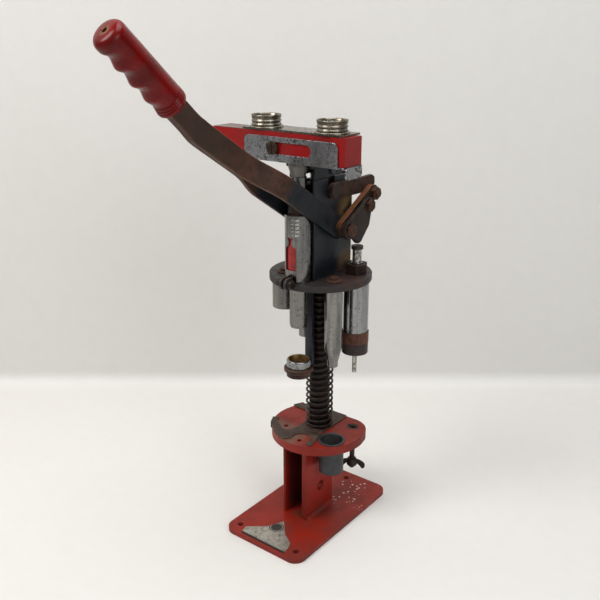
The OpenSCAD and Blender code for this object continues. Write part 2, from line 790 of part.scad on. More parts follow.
// Right-hand strap: parallel at the pivot, then cranked inwards to meet its twin.
// Its round ends are a hair thicker than its flats.
module strap() {
    step = 0.02;
    wide = fork_half + step;
    meet = 0.1 + step;
    t = strap_t - 2 * step;
    color([0.25, 0.17, 0.13]) difference() {
        union() {
            along_arm() polygon([
                [0, wide], [parallel, wide], [split, meet], [arm_l, meet],
                [arm_l, meet + t], [split + 2, meet + t], [parallel + 2, wide + t], [0, wide + t]]);
            cross_pin(pin_c, arm_w / 2, fork_half, strap_t);
            cross_pin(arm_bend, arm_w / 2, 0.1, strap_t);
            across(meet, t) translate(arm_bend) rotate(180 - handle_slope) {
                translate([0, -arm_w / 2 + 1]) square([grip_start + 1, arm_w - 2]);
                translate([0, -tang_w / 2]) square([tang_l, tang_w]);
            }
        }
        cross_pin(pin_c, stud_r + slip, 0, 40);
    }
}

module lever_strap_right() { strap(); }

module lever_strap_left() { mirror([1, 0, 0]) strap(); }

module lever_grip() {
    length = 79.5;
    corner_r = 5;
    pocket = 2 * strap_t + 0.3;
    pocket_end = tang_l - grip_start + 0.2;
    color([0.5, 0.08, 0.08]) translate([0, arm_bend[0], arm_bend[1]]) rotate([180 - handle_slope, 0, 0])
        translate([0, grip_start, 0]) difference() {
            rotate([-90, 0, 0]) rotate_extrude() {
                square([grip_r, length - corner_r]);
                square([grip_r - corner_r, length]);
                translate([grip_r - corner_r, length - corner_r]) circle(corner_r);
            }
            translate([-pocket / 2, -7, -arm_w / 2]) cube([pocket, 9, arm_w]);
            translate([-pocket / 2, -7, -tang_w / 2 - 0.05]) cube([pocket, pocket_end + 7, tang_w + 0.1]);
        }
}

// One crank arm, between x0 and x0 + crank_t
module crank_arm(x0) {
    color([0.35, 0.2, 0.12]) difference() {
        bar(pin_c, pin_b, 9, 8.5, x0, crank_t);
        cross_pin(pin_c, stud_r + slip, x0 - 1, crank_t + 2);
        cross_pin(pin_b, 4, x0 - 1, crank_t + 2);
        cross_pin(cam_bolt, 3, x0 - 1, crank_t + 2);
    }
}

module crank_right() { crank_arm(crank_in); }

module crank_left() { crank_arm(-crank_in - crank_t); }

module knockout_cam() {
    color([0.17, 0.16, 0.16]) difference() {
        union() {
            bar(pin_c, cam_bolt, 9.5, 8, cam_in, cam_t);
            across(cam_in, cam_t) polygon([pin_c - [3, 5], [13, 309], [17, 305], [19, 303.9],
                [23, 303.6], [25.5, 304.6], [39.4, 319], [43, 333], [30, 337]]);
        }
        cross_pin(pin_c, stud_r + slip, cam_in - 1, cam_t + 2);
        cross_pin(cam_bolt, 3, cam_in - 1, cam_t + 2);
    }
}

module cam_spacers() {
    x0 = crank_in + crank_t;
    gap = cam_in - x0;
    color([0.3, 0.2, 0.15]) {
        difference() {
            cross_pin(pin_c, 7.5, x0, gap);
            cross_pin(pin_c, stud_r + slip, x0 - 1, gap + 2);
        }
        difference() {
            cross_pin(cam_bolt, 6, x0, gap);
            cross_pin(cam_bolt, 3, x0 - 1, gap + 2);
        }
    }
}

module cam_bolt_set() {
    head_x = cam_in + cam_t;
    color([0.3, 0.2, 0.15]) {
        cross_pin(cam_bolt, 3, crank_in, head_x + 4.5 - crank_in);
        cross_pin(cam_bolt, 11 / 2 / cos(30), head_x, 3.4, $fn = 6);
    }
}

module pivot_studs() {
    inner = channel_half_w - wall;
    right_end = cam_in + cam_t + 4;
    left_end = crank_in + crank_t + 5;
    color([0.25, 0.2, 0.17]) {
        cross_pin(pin_c, stud_r, inner, right_end - inner);
        cross_pin(pin_c, stud_r, -left_end, left_end - inner);
    }
}

module pivot_nuts() {
    color([0.3, 0.2, 0.15]) for (place = [[cam_in + cam_t + 0.2, 3], [-crank_in - crank_t - 4.4, 4.2]])
        translate([place[0], pin_c_y, pin_c_z]) rotate([0, 90, 0]) hex_nut(12, place[1], stud_r);
}

module crank_pins() {
    outer = crank_in + crank_t;
    color([0.3, 0.2, 0.15]) both_sides() {
        cross_pin(pin_b, 4, crank_in, crank_t + 7);
        cross_pin(pin_b, 6 / cos(30), outer, 5, $fn = 6);
    }
}

base_plate();
pedestal();
station_table();
label_plate();
locating_plate();
cup_tube();
seat_bush();
wing_nut();
column();
main_spring();
top_bracket();
bracket_screws();
charge_cradle();
charge_bar();
charge_bushings();
bar_stop_screw();
bottle_plate();
bottle_collars();
plate_rivets();
funnel();
drop_tube();
die_plate();
guide_bush();
head_channel();
sizing_die();
sizing_collar();
sizing_nut();
decap_rod();
starter_die();
tapered_die();
final_die();
die_screws();
wad_tube();
wad_tube_cap();
wad_sleeve();
wad_spring();
wad_ram();
clamp_bolt();
clamp_nut();
guide_hanger();
guide_collar();
guide_ring();
link_pin();
link_right();
link_left();
link_bushes();
lever_strap_right();
lever_strap_left();
lever_grip();
crank_right();
crank_left();
knockout_cam();
cam_spacers();
cam_bolt_set();
pivot_studs();
pivot_nuts();
crank_pins();
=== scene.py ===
import json
import math

import bmesh
import bpy
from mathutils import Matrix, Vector, noise

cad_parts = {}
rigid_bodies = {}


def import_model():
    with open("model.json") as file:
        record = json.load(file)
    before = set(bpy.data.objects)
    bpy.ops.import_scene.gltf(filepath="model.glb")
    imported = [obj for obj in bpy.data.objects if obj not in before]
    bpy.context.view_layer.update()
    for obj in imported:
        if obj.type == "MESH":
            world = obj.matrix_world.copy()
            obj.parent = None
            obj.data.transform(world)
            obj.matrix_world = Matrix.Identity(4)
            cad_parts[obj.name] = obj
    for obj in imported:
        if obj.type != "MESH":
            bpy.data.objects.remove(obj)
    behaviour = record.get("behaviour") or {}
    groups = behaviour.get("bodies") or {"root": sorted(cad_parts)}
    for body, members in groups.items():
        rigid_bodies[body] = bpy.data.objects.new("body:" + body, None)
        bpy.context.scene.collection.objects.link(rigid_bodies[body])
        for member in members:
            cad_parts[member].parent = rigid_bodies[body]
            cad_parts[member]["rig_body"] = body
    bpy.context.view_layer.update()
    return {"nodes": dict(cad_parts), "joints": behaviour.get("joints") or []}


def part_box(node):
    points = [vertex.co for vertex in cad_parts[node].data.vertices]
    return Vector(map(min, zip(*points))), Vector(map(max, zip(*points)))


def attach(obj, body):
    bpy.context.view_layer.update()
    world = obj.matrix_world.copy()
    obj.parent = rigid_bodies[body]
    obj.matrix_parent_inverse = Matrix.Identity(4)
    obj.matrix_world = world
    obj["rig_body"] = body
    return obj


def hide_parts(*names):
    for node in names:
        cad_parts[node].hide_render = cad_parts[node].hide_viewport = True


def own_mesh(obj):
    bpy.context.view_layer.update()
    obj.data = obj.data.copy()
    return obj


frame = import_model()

# Lengths are in metres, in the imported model's own frame: +Z up, operator at -Y.
MM = 0.001

# ---- places, taken from the frame ------------------------------------------------

joints = {j["name"]: j for j in frame["joints"]}
pivot_c = Vector(joints["lever_swing"]["pos_m"])


def centre(node):
    lo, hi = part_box(node)
    return (lo + hi) / 2


def low(node, axis=2):
    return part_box(node)[0][axis]


def high(node, axis=2):
    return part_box(node)[1][axis]


station_wad = centre("wad_ram")
station_sizing = centre("sizing_die")
pin_b = Vector((0, centre("link_bushes").y, centre("link_bushes").z))

# The lever's middle line: up the arm from its pivot, then along the handle.
ARM_SLOPE = math.radians(32.4)
HANDLE_SLOPE = math.radians(42.4)
ARM_L = 204.5 * MM
arm_dir = Vector((0, -math.cos(ARM_SLOPE), math.sin(ARM_SLOPE)))
handle_dir = Vector((0, -math.cos(HANDLE_SLOPE), math.sin(HANDLE_SLOPE)))
arm_bend = pivot_c + arm_dir * ARM_L
GRIP_START = 32.5 * MM
GRIP_LENGTH = 79.5 * MM

# In degrees: edges sharper than the first get rounded, flatter than the second are shaded smooth.
SHARP_EDGE = 32
SMOOTH_EDGE = 35

# The camera's level heading, the direction to its right, its downward tilt, its place and its lens.
HEADING = Vector((-0.6129, 0.7902, 0))
RIGHTWARD = Vector((0.7902, 0.6129, 0))
CAMERA_TILT = math.radians(19.4)
CAMERA_PLACE = (0.4421, -0.6041, 0.5063)
SENSOR_MM = 36.0
LENS_MM = 46.33


# ---- colour and material helpers --------------------------------------------------


def rgb(r, g, b):
    """A colour given as display values from 0 to 255, in Blender's linear values."""
    out = []
    for c in (r, g, b):
        c /= 255
        out.append(c / 12.92 if c <= 0.04045 else ((c + 0.055) / 1.055) ** 2.4)
    return tuple(out) + (1.0,)


class Finish:
    """One procedural material, put together node by node in the frame's metres."""

    def __init__(self, name):
        self.mat = bpy.data.materials.new(name)
        self.mat.use_nodes = True
        self.tree = self.mat.node_tree
        self.tree.nodes.clear()
        self.out = self.tree.nodes.new("ShaderNodeOutputMaterial")
        self.bsdf = self.tree.nodes.new("ShaderNodeBsdfPrincipled")
        self.tree.links.new(self.bsdf.outputs[0], self.out.inputs[0])
        self.place = self.add("ShaderNodeTexCoord").outputs["Object"]
        split = self.add("ShaderNodeSeparateXYZ", {0: self.place})
        self.x, self.y, self.z = split.outputs

    def add(self, kind, inputs=None, **props):
        node = self.tree.nodes.new(kind)
        for key, value in props.items():
            setattr(node, key, value)
        for key, value in (inputs or {}).items():
            self.put(node.inputs[key], value)
        return node

    def put(self, socket, value):
        if isinstance(value, bpy.types.NodeSocket):
            self.tree.links.new(value, socket)
        else:
            socket.default_value = value

    def combine(self, op, a, b):
        return self.add("ShaderNodeMath", {0: a, 1: b}, operation=op).outputs[0]

    def times(self, a, b):
        return self.combine("MULTIPLY", a, b)

    def plus(self, a, b):
        return self.combine("ADD", a, b)

    def minus(self, a, b):
        return self.combine("SUBTRACT", a, b)

    def stretched(self, x, y, z):
        """The place, scaled by a factor along each axis, for streaks."""
        return self.add("ShaderNodeMapping", {"Vector": self.place, "Scale": (x, y, z)}).outputs[0]

    def noise(self, scale, detail=4.0, rough=0.55, at=None):
        return self.add("ShaderNodeTexNoise", {"Vector": at or self.place, "Scale": scale,
                                               "Detail": detail, "Roughness": rough}).outputs[0]

    def cells(self, scale):
        """The distance to the nearest of many scattered points."""
        return self.add("ShaderNodeTexVoronoi", {"Vector": self.place, "Scale": scale}).outputs[0]

    def ramp(self, value, lo, hi, a=0.0, b=1.0):
        """A smooth step of value from a at lo to b at hi."""
        return self.add("ShaderNodeMapRange", {0: value, 1: lo, 2: hi, 3: a, 4: b},
                        interpolation_type="SMOOTHSTEP").outputs[0]

    def mix(self, fac, a, b):
        """Colour a, going over to b as fac goes from 0 to 1."""
        node = self.add("ShaderNodeMix", data_type="RGBA")
        for socket, value in ((node.inputs[0], fac), (node.inputs[6], a), (node.inputs[7], b)):
            self.put(socket, value)
        return node.outputs[2]

    def edges(self, radius):
        """A mask that is 1 on edges, for worn edges and for painted edge highlights: where the rounded normal
        leaves the real one.
        """
        turned = 0.04
        round_n = self.add("ShaderNodeBevel", {"Radius": radius}, samples=4).outputs[0]
        normal = self.add("ShaderNodeNewGeometry").outputs["Normal"]
        dot = self.add("ShaderNodeVectorMath", {0: round_n, 1: normal}, operation="DOT_PRODUCT").outputs[1]
        return self.ramp(dot, 1.0 - turned, 1.0, 1.0, 0.0)

    def near(self, point, inner, outer):
        """1 within inner of a point, 0 beyond outer."""
        gap = self.add("ShaderNodeVectorMath", {0: self.place, 1: tuple(point)}, operation="DISTANCE")
        return self.ramp(gap.outputs[1], inner, outer, 1.0, 0.0)

    def finish(self, color, rough, metal=0.0, height=None, depth=0.1 * MM, coat=0.0, gloss=0.5):
        """Sets the surface; height is bumped by depth, and gloss is the reflection of a non-metal."""
        self.put(self.bsdf.inputs["Base Color"], color)
        self.put(self.bsdf.inputs["Roughness"], rough)
        self.put(self.bsdf.inputs["Metallic"], metal)
        self.put(self.bsdf.inputs["Specular IOR Level"], gloss)
        self.put(self.bsdf.inputs["Coat Weight"], coat)
        self.put(self.bsdf.inputs["Coat Roughness"], 0.15)
        if height is not None:
            bump = self.add("ShaderNodeBump", {"Height": height, "Distance": depth, "Strength": 1.0})
            self.put(self.bsdf.inputs["Normal"], bump.outputs[0])
        return self.mat


# ---- materials ------------------------------------------------------------------------


def red_paint():
    """Old red enamel on the stand: dull patches, pale specks behind the pedestal, chipped edges."""
    f = Finish("red_paint")
    cloud = f.noise(28, 5, 0.6)
    fine = f.noise(420, 3, 0.6)
    color = f.mix(f.ramp(cloud, 0.35, 0.68), rgb(130, 28, 14), rgb(104, 29, 18))
    # Painted highlight: the pedestal's right side, between base and table, is painted a brighter red for the
    # light it catches.
    right_side = f.ramp(f.x, 13 * MM, 14.5 * MM)
    above_base = f.ramp(f.z, 6 * MM, 12 * MM)
    below_table = f.ramp(f.z, 88 * MM, 90 * MM, 1.0, 0.0)
    flange = f.times(right_side, f.times(above_base, below_table))
    color = f.mix(f.times(flange, 0.75), color, rgb(162, 32, 21))
    # Painted shade: the inside of the pedestal's channel, behind its front edges, is painted a dark red.
    channel_shade = f.times(f.ramp(f.y, -40 * MM, -32 * MM), above_base)
    channel_shade = f.times(channel_shade, f.ramp(f.x, 7.8 * MM, 8.4 * MM, 1.0, 0.0))
    channel_shade = f.times(channel_shade, below_table)
    color = f.mix(f.times(channel_shade, 0.7), color, rgb(64, 20, 17))
    dust = f.times(f.ramp(fine, 0.5, 0.8), f.ramp(cloud, 0.5, 0.75))
    color = f.mix(f.times(dust, 0.4), color, rgb(126, 84, 70))
    chips = f.times(f.ramp(f.cells(210), 0.2, 0.27, 1.0, 0.0), f.ramp(f.noise(70, 2), 0.47, 0.53))
    behind = f.near((26 * MM, 38 * MM, 5 * MM), 20 * MM, 40 * MM)
    color = f.mix(f.times(chips, behind), color, rgb(206, 190, 176))
    table_top = f.ramp(f.z, 99 * MM, 99.4 * MM)
    left = f.ramp(f.plus(f.x, f.times(f.noise(60, 4), 18 * MM)), 4 * MM, 26 * MM, 1.0, 0.0)
    front = f.ramp(f.y, -24 * MM, -12 * MM, 1.0, 0.0)
    grime = f.times(f.times(left, front), table_top)
    color = f.mix(f.times(grime, 0.75), color, rgb(98, 78, 64))
    foot = f.near((-4 * MM, -22 * MM, 5 * MM), 10 * MM, 26 * MM)
    foot = f.times(foot, f.ramp(f.noise(90, 4), 0.4, 0.6))
    color = f.mix(f.times(foot, 0.7), color, rgb(74, 50, 40))
    worn = f.times(f.edges(1.0 * MM), f.ramp(f.noise(160, 4, 0.7), 0.52, 0.6))
    color = f.mix(worn, color, rgb(66, 42, 34))
    rough = f.ramp(cloud, 0.3, 0.7, 0.38, 0.58)
    height = f.plus(f.times(fine, 0.25), f.times(f.noise(90, 4), 0.6))
    return f.finish(color, rough, 0.0, height, 0.25 * MM, gloss=0.28)


def bar_paint():
    """Red enamel; the part of the top that slides under the bottle plate is scraped to grey metal."""
    f = Finish("bar_paint")
    cloud = f.noise(40, 4, 0.6)
    color = f.mix(f.ramp(cloud, 0.35, 0.7), rgb(142, 12, 13), rgb(122, 12, 13))
    scratch = f.ramp(f.noise(300, 3, 0.7, f.stretched(0.08, 1, 1)), 0.66, 0.74)
    color = f.mix(f.times(scratch, 0.35), color, rgb(96, 20, 20))
    end_face = f.ramp(f.x, high("charge_bar", 0) - 1 * MM, high("charge_bar", 0) - 0.2 * MM)
    color = f.mix(f.times(end_face, 0.4), color, rgb(118, 24, 22))
    top = f.ramp(f.z, high("charge_bar") - 0.5 * MM, high("charge_bar") - 0.2 * MM)
    ragged = f.plus(f.x, f.times(f.noise(130, 5, 0.7, f.stretched(1, 0.35, 1)), 16 * MM))
    slid = f.times(top, f.ramp(ragged, -44 * MM, -40 * MM, 1.0, 0.0))
    scrape = f.ramp(f.noise(320, 4, 0.7, f.stretched(0.12, 1, 1)), 0.4, 0.62)
    grey = f.mix(scrape, rgb(122, 114, 106), rgb(70, 60, 54))
    color = f.mix(f.times(slid, 0.85), color, grey)
    worn = f.times(f.edges(0.6 * MM), f.ramp(f.noise(220, 4, 0.7), 0.5, 0.58))
    color = f.mix(worn, color, rgb(88, 46, 38))
    height = f.plus(f.times(f.noise(500, 2), 0.3), f.noise(60, 3))
    rough = f.ramp(cloud, 0.3, 0.7, 0.3, 0.45)
    return f.finish(color, rough, f.times(slid, 0.6), height, 0.12 * MM, gloss=0.35)


def chrome(name, tint=(150, 151, 152), pits=0.5, streak=0.4, stain=0.3, rough=0.1, cover=0.54):
    """Plated steel with long streaks, dark pits and brown stains, each as strong as given."""
    f = Finish(name)
    lines = f.noise(150, 4, 0.6, f.stretched(1, 1, 0.06))
    mottle = f.noise(380, 5, 0.75)
    pit_mask = f.times(f.ramp(mottle, cover, cover + 0.1), f.ramp(f.noise(70, 3), 0.36, 0.56))
    color = f.mix(f.times(f.ramp(lines, 0.4, 0.65), streak), rgb(*tint), rgb(92, 92, 94))
    color = f.mix(f.times(pit_mask, pits), color, rgb(52, 48, 46))
    brown = f.times(f.ramp(f.noise(55, 5, 0.7), 0.54, 0.7), stain)
    color = f.mix(brown, color, rgb(96, 78, 62))
    shine = f.plus(f.ramp(lines, 0.35, 0.7, rough, rough + 0.12), f.times(pit_mask, 0.3))
    height = f.minus(f.times(lines, 0.15), f.times(pit_mask, 0.6))
    return f.finish(color, shine, f.minus(1.0, f.times(brown, 0.7)), height, 0.06 * MM)


def band_paint():
    """The sizing die's collar: a brown upper band over a black-brown lower one."""
    f = Finish("band_paint")
    patches = f.noise(90, 6, 0.7)
    grain = f.noise(600, 4, 0.7)
    upper = f.ramp(f.z, low("sizing_collar") + 11.8 * MM, low("sizing_collar") + 12.2 * MM)
    brown = f.mix(f.ramp(patches, 0.36, 0.6), rgb(66, 40, 30), rgb(98, 60, 42))
    dark = f.mix(f.ramp(patches, 0.36, 0.6), rgb(38, 31, 30), rgb(56, 46, 44))
    color = f.mix(upper, dark, brown)
    color = f.mix(f.times(f.ramp(grain, 0.5, 0.75), 0.4), color, rgb(98, 74, 62))
    height = f.plus(f.times(grain, 0.4), patches)
    return f.finish(color, f.ramp(patches, 0.35, 0.65, 0.42, 0.6), 0.15, height, 0.2 * MM, gloss=0.3)


def rod_metal():
    """The punch rod: a bright shank under a head blackened by grease."""
    f = Finish("rod_metal")
    cloud = f.noise(300, 4, 0.7)
    head = f.ramp(f.z, high("decap_rod") - 4.2 * MM, high("decap_rod") - 3.2 * MM)
    color = f.mix(f.ramp(cloud, 0.4, 0.65), rgb(176, 174, 168), rgb(104, 98, 90))
    color = f.mix(f.times(head, 0.9), color, rgb(40, 33, 29))
    return f.finish(color, f.plus(0.2, f.times(head, 0.3)), 0.8, cloud, 0.08 * MM)


def rusty(name, base, light, dark, orange=0.3, rough=0.72):
    """Bare steel gone brown: dark and light patches, orange bloom, a grainy skin, and a painted highlight
    along the edges.
    """
    f = Finish(name)
    patches = f.noise(90, 6, 0.7)
    grain = f.noise(700, 4, 0.7)
    color = f.mix(f.ramp(patches, 0.36, 0.6), rgb(*dark), rgb(*base))
    color = f.mix(f.times(f.ramp(grain, 0.5, 0.75), 0.6), color, rgb(*light))
    bloom = f.times(f.ramp(f.noise(160, 5, 0.75), 0.56, 0.68), orange)
    color = f.mix(bloom, color, rgb(138, 74, 34))
    # Painted highlight: the edges are painted in the light colour, as if lit.
    shine = f.times(f.edges(0.8 * MM), 0.5)
    color = f.mix(shine, color, rgb(*light))
    height = f.plus(f.times(grain, 0.4), patches)
    metal = f.ramp(patches, 0.4, 0.7, 0.5, 0.15)
    dull = f.ramp(patches, 0.35, 0.65, rough - 0.2, rough)
    return f.finish(color, dull, metal, height, 0.3 * MM, gloss=0.3)


def crank_steel():
    """Dark pitted steel whose upward-facing edge is painted orange: partly rust, partly a painted highlight
    where that edge catches the light.
    """
    f = Finish("crank_steel")
    patches = f.noise(90, 6, 0.7)
    grain = f.noise(700, 4, 0.7)
    color = f.mix(f.ramp(patches, 0.36, 0.6), rgb(34, 27, 24), rgb(62, 46, 38))
    color = f.mix(f.times(f.ramp(grain, 0.5, 0.75), 0.4), color, rgb(88, 66, 52))
    # Partly rust and partly painted highlight: orange is kept to faces turned up along the crank, the lit
    # edge.
    run = (pin_b - pivot_c).normalized()
    normal = f.add("ShaderNodeNewGeometry").outputs["True Normal"]
    facing = f.add("ShaderNodeVectorMath", {0: normal, 1: (0.0, -run.z, run.y)},
                   operation="DOT_PRODUCT").outputs[1]
    upper = f.times(f.ramp(facing, 0.5, 0.85), f.ramp(f.noise(130, 5, 0.75), 0.3, 0.5))
    color = f.mix(f.times(upper, 0.7), color, rgb(124, 74, 40))
    height = f.plus(f.times(grain, 0.4), patches)
    return f.finish(color, f.ramp(patches, 0.35, 0.65, 0.5, 0.72), 0.3, height, 0.3 * MM, gloss=0.3)


def lever_steel():
    """Brown along the arm, blue-black towards the pivot, with orange along the fork's edge."""
    f = Finish("lever_steel")
    along = f.plus(f.times(f.minus(f.y, pivot_c.y), arm_dir.y),
                  f.times(f.minus(f.z, pivot_c.z), arm_dir.z))
    ragged = f.plus(along, f.times(f.noise(110, 4, 0.7), 16 * MM))
    patches = f.noise(75, 6, 0.7)
    grain = f.noise(650, 4, 0.7)
    brown = f.mix(f.ramp(patches, 0.35, 0.65), rgb(46, 31, 24), rgb(72, 46, 34))
    brown = f.mix(f.times(f.ramp(grain, 0.5, 0.8), 0.45), brown, rgb(108, 74, 56))
    blue = f.mix(f.ramp(patches, 0.35, 0.65), rgb(26, 29, 34), rgb(44, 46, 50))
    fork = f.ramp(ragged, 98 * MM, 106 * MM, 1.0, 0.0)
    color = f.mix(fork, brown, blue)
    handle = f.ramp(along, 150 * MM, 195 * MM)
    color = f.mix(f.times(handle, 0.6), color, rgb(52, 38, 31))
    rust = f.times(f.edges(1.2 * MM), f.ramp(along, 30 * MM, 120 * MM))
    color = f.mix(f.times(rust, 0.75), color, rgb(140, 88, 56))
    metal = f.times(fork, 0.5)
    height = f.plus(f.times(grain, 0.35), patches)
    return f.finish(color, f.ramp(patches, 0.3, 0.7, 0.42, 0.62), metal, height, 0.22 * MM, gloss=0.25)


def dark_sheet():
    """Blued sheet metal with yellow-brown rust low down at the back and under the link."""
    f = Finish("dark_sheet")
    cloud = f.noise(35, 5, 0.65)
    color = f.mix(f.ramp(cloud, 0.35, 0.7), rgb(24, 28, 35), rgb(37, 40, 46))
    low_rear = f.near((15 * MM, 26 * MM, low("head_channel") + 4 * MM), 3 * MM, 26 * MM)
    under_link = f.near((15 * MM, 28 * MM, pin_b.z - 16 * MM), 8 * MM, 30 * MM)
    stain = f.combine("MAXIMUM", low_rear, under_link)
    stain = f.times(stain, f.ramp(f.noise(85, 5, 0.7), 0.34, 0.58))
    color = f.mix(stain, color, rgb(122, 94, 52))
    worn = f.times(f.edges(0.8 * MM), f.ramp(f.noise(240, 4, 0.7), 0.42, 0.6))
    color = f.mix(f.times(worn, 0.7), color, rgb(84, 76, 70))
    height = f.plus(f.times(f.noise(500, 3), 0.3), f.noise(70, 3))
    rough = f.plus(f.ramp(cloud, 0.3, 0.7, 0.3, 0.44), f.times(stain, 0.3))
    return f.finish(color, rough, 0.3, height, 0.12 * MM, gloss=0.4)


def plate_steel():
    """The die plate: black-brown rim, rusty top, orange towards the sizing die."""
    f = Finish("plate_steel")
    patches = f.noise(80, 6, 0.7)
    color = f.mix(f.ramp(patches, 0.35, 0.62), rgb(42, 34, 30), rgb(66, 50, 40))
    orange = f.near((36 * MM, -4 * MM, high("die_plate")), 8 * MM, 34 * MM)
    orange = f.times(orange, f.ramp(f.noise(120, 6, 0.75), 0.42, 0.6))
    color = f.mix(orange, color, rgb(126, 66, 30))
    dirt = f.near((station_sizing.x, station_sizing.y, high("die_plate")), 9 * MM, 17 * MM)
    color = f.mix(f.times(dirt, 0.6), color, rgb(60, 44, 32))
    rim = f.ramp(f.z, high("die_plate") - 1.4 * MM, high("die_plate") - 0.4 * MM, 1.0, 0.0)
    color = f.mix(f.times(rim, 0.7), color, rgb(38, 38, 40))
    grain = f.noise(600, 4, 0.7)
    height = f.plus(f.times(grain, 0.4), patches)
    return f.finish(color, f.ramp(patches, 0.35, 0.65, 0.45, 0.68), 0.35, height, 0.25 * MM)


def plain_steel(name, base, dark, rough=0.45, metal=0.7):
    f = Finish(name)
    cloud = f.noise(60, 5, 0.65)
    grain = f.noise(500, 3, 0.6)
    color = f.mix(f.ramp(cloud, 0.35, 0.68), rgb(*dark), rgb(*base))
    height = f.plus(f.times(grain, 0.4), cloud)
    return f.finish(color, f.ramp(cloud, 0.3, 0.7, rough - 0.1, rough + 0.12), metal, height, 0.12 * MM)


def grip_plastic():
    """Deep red moulded plastic, shiny with handling, worn through at the tip."""
    f = Finish("grip_plastic")
    cloud = f.noise(45, 4, 0.6)
    color = f.mix(f.ramp(cloud, 0.35, 0.7), rgb(112, 8, 7), rgb(86, 8, 8))
    rubbed = f.ramp(f.noise(260, 4, 0.7, f.stretched(1, 0.3, 0.3)), 0.58, 0.72)
    color = f.mix(f.times(rubbed, 0.22), color, rgb(138, 30, 20))
    tip = arm_bend + handle_dir * (GRIP_START + GRIP_LENGTH)
    hole = f.times(f.near(tip, 2.4 * MM, 5.5 * MM), f.ramp(f.noise(300, 4, 0.7), 0.36, 0.54))
    color = f.mix(f.times(hole, 0.8), color, rgb(104, 74, 36))
    height = f.plus(f.times(f.noise(420, 3), 0.25), f.noise(80, 3))
    return f.finish(color, f.ramp(cloud, 0.3, 0.7, 0.2, 0.32), 0.0, height, 0.1 * MM, gloss=0.2)


def red_plastic():
    f = Finish("red_plastic")
    color = f.mix(f.ramp(f.noise(120, 4), 0.35, 0.7), rgb(148, 14, 8), rgb(118, 12, 8))
    return f.finish(color, 0.35, 0.0, f.noise(300, 3), 0.05 * MM, coat=0.1)


def foil():
    """Scuffed metal foil with a dark band along its front edge and a dark round emblem."""
    f = Finish("label_foil")
    lo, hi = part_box("label_plate")
    scuff = f.noise(260, 5, 0.7)
    color = f.mix(f.ramp(scuff, 0.4, 0.65), rgb(172, 168, 158), rgb(132, 126, 116))
    band = f.ramp(f.y, lo.y + 2.6 * MM, lo.y + 3.0 * MM, 1.0, 0.0)
    color = f.mix(band, color, rgb(46, 42, 38))
    disc_at = Vector((-3.5 * MM, hi.y - 13 * MM, hi.z))
    disc = f.near(disc_at, 7.6 * MM, 7.9 * MM)
    bright = f.minus(f.near(disc_at, 6.6 * MM, 6.8 * MM), f.near(disc_at, 5.9 * MM, 6.1 * MM))
    color = f.mix(disc, color, rgb(58, 54, 48))
    color = f.mix(bright, color, rgb(160, 156, 146))
    dirt = f.ramp(f.noise(130, 5, 0.75), 0.56, 0.68)
    color = f.mix(f.times(dirt, 0.5), color, rgb(84, 66, 54))
    return f.finish(color, f.ramp(scuff, 0.4, 0.7, 0.3, 0.5), 0.7, scuff, 0.12 * MM)


RED = red_paint()
BAR = bar_paint()
CHROME = chrome("chrome")
CHROME_PITTED = chrome("chrome_pitted", (176, 178, 182), 0.9, 0.25, 0.25, 0.24, 0.46)
CHROME_DULL = chrome("chrome_dull", (124, 122, 118), 0.6, 0.55, 0.55, 0.16)
CHROME_DIRTY = chrome("chrome_dirty", (132, 126, 112), 0.7, 0.3, 0.9, 0.22)
CHROME_TUBE = chrome("chrome_tube", (138, 137, 133), 0.45, 0.75, 0.35, 0.12)
MARKS = chrome("mark_metal", (206, 205, 200), 0.1, 0.1, 0.1, 0.3)
ROD = rod_metal()
LEVER = lever_steel()
SHEET = dark_sheet()
PLATE = plate_steel()
RUST = rusty("rust", (72, 48, 36), (112, 76, 54), (38, 28, 24), 0.45)
RUST_DARK = rusty("rust_dark", (48, 38, 33), (84, 66, 56), (26, 22, 21), 0.12, 0.62)
LINK = rusty("link_steel", (60, 40, 32), (96, 66, 52), (32, 24, 21), 0.12)
CRANK = crank_steel()
NUT = rusty("nut_steel", (50, 35, 28), (78, 58, 46), (28, 22, 19), 0.15)
TABLE_SHEET = rusty("table_sheet", (78, 62, 54), (112, 92, 80), (54, 42, 37), 0.05, 0.66)
GUN = plain_steel("gun_steel", (72, 72, 74), (54, 54, 56), 0.5, 0.5)
COLUMN = plain_steel("column_steel", (46, 33, 27), (24, 20, 19), 0.38, 0.6)
SPRING = rusty("spring_steel", (40, 31, 27), (78, 62, 54), (22, 19, 18), 0.08, 0.5)
BRASS = plain_steel("old_brass", (150, 120, 70), (110, 84, 50), 0.42, 0.9)
POT = plain_steel("pot_metal", (128, 126, 120), (96, 92, 86), 0.5, 0.6)
BRONZE = rusty("dark_bronze", (58, 44, 32), (104, 82, 58), (30, 24, 20), 0.1, 0.5)
COLLAR_BROWN = rusty("collar_brown", (72, 48, 38), (98, 72, 58), (42, 31, 27), 0.1, 0.6)
COLLAR_BANDS = band_paint()
GRIP = grip_plastic()
INDICATOR = red_plastic()
FOIL = foil()


# ---- mesh helpers -----------------------------------------------------------------------


def body_of_node(node):
    return frame["nodes"][node]["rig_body"]


def add_piece(name, bm, material, body, smooth=SMOOTH_EDGE):
    """Turns a bmesh into a piece that rides on a CAD body."""
    mesh = bpy.data.meshes.new(name)
    bmesh.ops.recalc_face_normals(bm, faces=bm.faces)
    bm.to_mesh(mesh)
    bm.free()
    mesh.materials.append(material)
    mesh.shade_smooth()
    mesh.set_sharp_from_angle(angle=math.radians(smooth))
    obj = bpy.data.objects.new(name, mesh)
    bpy.context.scene.collection.objects.link(obj)
    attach(obj, body)
    return obj


def welded(node):
    """A bmesh of a CAD node with its shared corners joined and its flat faces whole."""
    bm = bmesh.new()
    bm.from_mesh(frame["nodes"][node].data)
    bmesh.ops.remove_doubles(bm, verts=bm.verts, dist=2e-6)
    bmesh.ops.dissolve_limit(bm, angle_limit=math.radians(0.6), verts=bm.verts, edges=bm.edges)
    return bm


